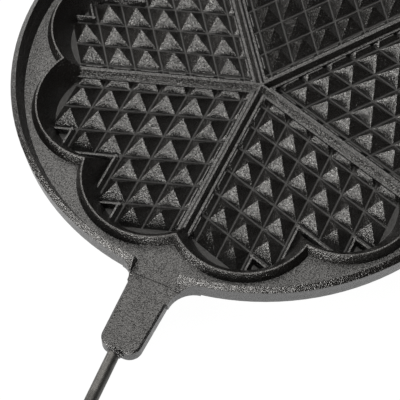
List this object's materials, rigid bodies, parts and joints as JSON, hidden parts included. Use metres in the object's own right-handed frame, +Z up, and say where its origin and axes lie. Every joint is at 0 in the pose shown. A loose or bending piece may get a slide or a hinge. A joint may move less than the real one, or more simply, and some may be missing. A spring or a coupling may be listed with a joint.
{
  "type": "stovetop waffle iron",
  "caption": "Round cast-iron waffle iron with heart-shaped moulds, lying open on a hinge, with two long wood-gripped rod handles.",
  "frame": {"origin": "centre of the lower plate's flat underside", "axes": "+Z up out of the open mould, -Y along the lower handle, +X along the hinge pin towards its head"},
  "size_m": [0.23, 1.018, 0.0279],
  "materials": {
    "cast_iron": "seasoned black, as cast",
    "handle_steel": "dark drawn rod",
    "hinge_steel": "dull zinc",
    "grip_wood": "oiled"
  },
  "bodies": {
    "lower_half": {"lower_plate": "cast_iron", "lower_handle_rod": "handle_steel", "lower_stop_collar": "handle_steel", "lower_ferrule": "handle_steel", "lower_grip": "grip_wood", "lower_end_washer": "handle_steel", "lower_hanging_eye": "handle_steel", "hinge_pin": "hinge_steel", "hinge_washers": "hinge_steel", "hinge_split_pin": "hinge_steel"},
    "upper_half": {"upper_plate": "cast_iron", "upper_handle_rod": "handle_steel", "upper_stop_collar": "handle_steel", "upper_ferrule": "handle_steel", "upper_grip": "grip_wood", "upper_end_washer": "handle_steel", "upper_hanging_eye": "handle_steel"}
  },
  "joints": [
    {"name": "plate_hinge", "type": "hinge", "parent": "lower_half", "child": "upper_half", "pos_m": [0, 0.128, 0.0169], "axis": [1, 0, 0], "range_deg": [0, 180]}
  ]
}
